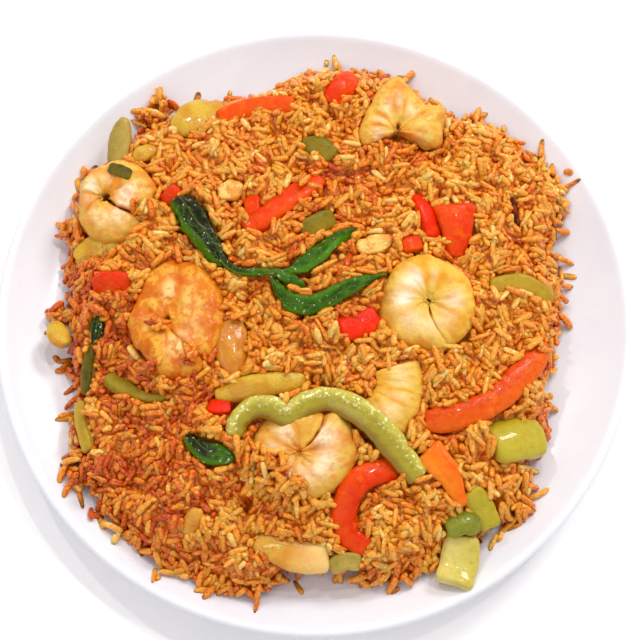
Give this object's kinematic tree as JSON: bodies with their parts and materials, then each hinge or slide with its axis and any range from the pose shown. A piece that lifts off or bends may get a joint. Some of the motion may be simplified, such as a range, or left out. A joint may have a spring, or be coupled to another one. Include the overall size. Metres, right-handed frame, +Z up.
{
  "type": "fried rice",
  "caption": "Mounded fried rice with curled shrimp, red and green pepper strips, onion, basil and egg on a shallow round white dish.",
  "frame": {"origin": "centre of the dish's foot ring, on the surface that the dish stands on", "axes": "+Z up out of the dish, +Y away from the diner, +X to the diner's right"},
  "size_m": [0.244, 0.244, 0.0465],
  "materials": {
    "glaze": "gloss",
    "rice": "satin",
    "shrimp": "satin",
    "red_pepper": "gloss",
    "green_pepper": "gloss",
    "onion": "gloss",
    "basil": "gloss",
    "egg": "satin",
    "browned": "matte"
  },
  "bodies": {
    "root": {"dish": "glaze", "basil_sprig": "basil", "herb_on_shrimp": "green_pepper", "pepper_green_long": "green_pepper", "pepper_red_arc": "red_pepper", "pepper_red_hook": "red_pepper", "pepper_red_bright": "red_pepper", "pepper_red_bright_end": "red_pepper", "pepper_red_chunk": "red_pepper", "pepper_red_chunk_side": "red_pepper", "pepper_red_tail": "red_pepper", "pepper_red_back": "red_pepper", "pepper_red_back_knob": "red_pepper", "pepper_red_left": "red_pepper", "pepper_red_middle": "red_pepper", "pepper_red_bit_upper": "red_pepper", "pepper_red_bit_lower": "red_pepper", "pepper_red_bit_left": "red_pepper", "pepper_green_chunk": "green_pepper", "pepper_green_right": "green_pepper", "pepper_green_fold": "green_pepper", "pepper_green_foot": "green_pepper", "pepper_green_side": "green_pepper", "pepper_green_tip": "green_pepper", "pepper_green_edge_upper": "green_pepper", "pepper_green_edge_lower": "green_pepper", "pepper_olive_left": "green_pepper", "pepper_olive_top": "green_pepper", "pepper_olive_middle": "green_pepper", "pepper_green_front": "green_pepper", "twig": "browned", "onion_top": "onion", "onion_left": "onion", "onion_petal": "onion", "onion_long": "onion", "onion_front": "onion", "onion_edge": "onion", "onion_bit": "onion", "onion_glassy": "onion", "basil_bottom": "basil", "basil_edge": "basil", "egg_upper": "egg", "egg_middle": "egg", "shrimp_right": "shrimp", "shrimp_left": "shrimp", "shrimp_upper_left": "shrimp", "shrimp_front": "shrimp", "shrimp_back": "shrimp", "shrimp_centre": "shrimp", "rice_heap": "rice"}
  },
  "joints": []
}
